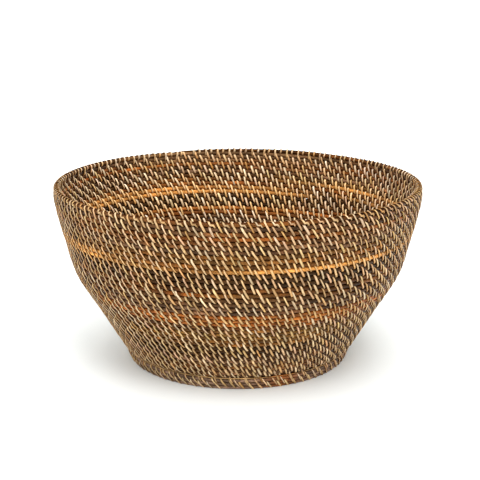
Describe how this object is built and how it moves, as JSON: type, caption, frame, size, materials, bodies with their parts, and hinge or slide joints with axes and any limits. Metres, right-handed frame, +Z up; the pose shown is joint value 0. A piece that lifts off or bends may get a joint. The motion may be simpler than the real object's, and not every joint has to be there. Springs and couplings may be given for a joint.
{
  "type": "fruit basket",
  "caption": "Round open fruit basket of coiled dark rattan rods bound with pale flat splint, with a flared wall, rounded shoulder, flat base and low foot ring",
  "frame": {"origin": "middle of the resting plane, on the basket's axis", "axes": "+Z up along the basket's axis; the coil ends at +Y, which is the back; the front faces -Y"},
  "size_m": [0.3012, 0.3011, 0.15],
  "materials": {
    "rod": "semi-gloss dark stained rattan core",
    "splint": "satin pale straw rattan peel"
  },
  "bodies": {
    "root": {"base_binding_01": "splint", "base_binding_02": "splint", "base_binding_03": "splint", "base_rod_01": "rod", "base_rod_02": "rod", "base_rod_03": "rod", "foot_binding": "splint", "foot_edge_binding": "splint", "foot_rod_01": "rod", "foot_rod_02": "rod", "foot_rod_03": "rod", "foot_strand": "splint", "rim_binding": "splint", "rim_rod": "rod", "wall_binding_01": "splint", "wall_binding_02": "splint", "wall_binding_03": "splint", "wall_binding_04": "splint", "wall_binding_05": "splint", "wall_binding_06": "splint", "wall_binding_07": "splint", "wall_binding_08": "splint", "wall_binding_09": "splint", "wall_binding_10": "splint", "wall_binding_11": "splint", "wall_binding_12": "splint", "wall_rod_01": "rod", "wall_rod_02": "rod", "wall_rod_03": "rod", "wall_rod_04": "rod", "wall_rod_05": "rod", "wall_rod_06": "rod", "wall_rod_07": "rod", "wall_rod_08": "rod", "wall_rod_09": "rod", "wall_rod_10": "rod", "wall_rod_11": "rod", "wall_rod_12": "rod"}
  },
  "joints": []
}
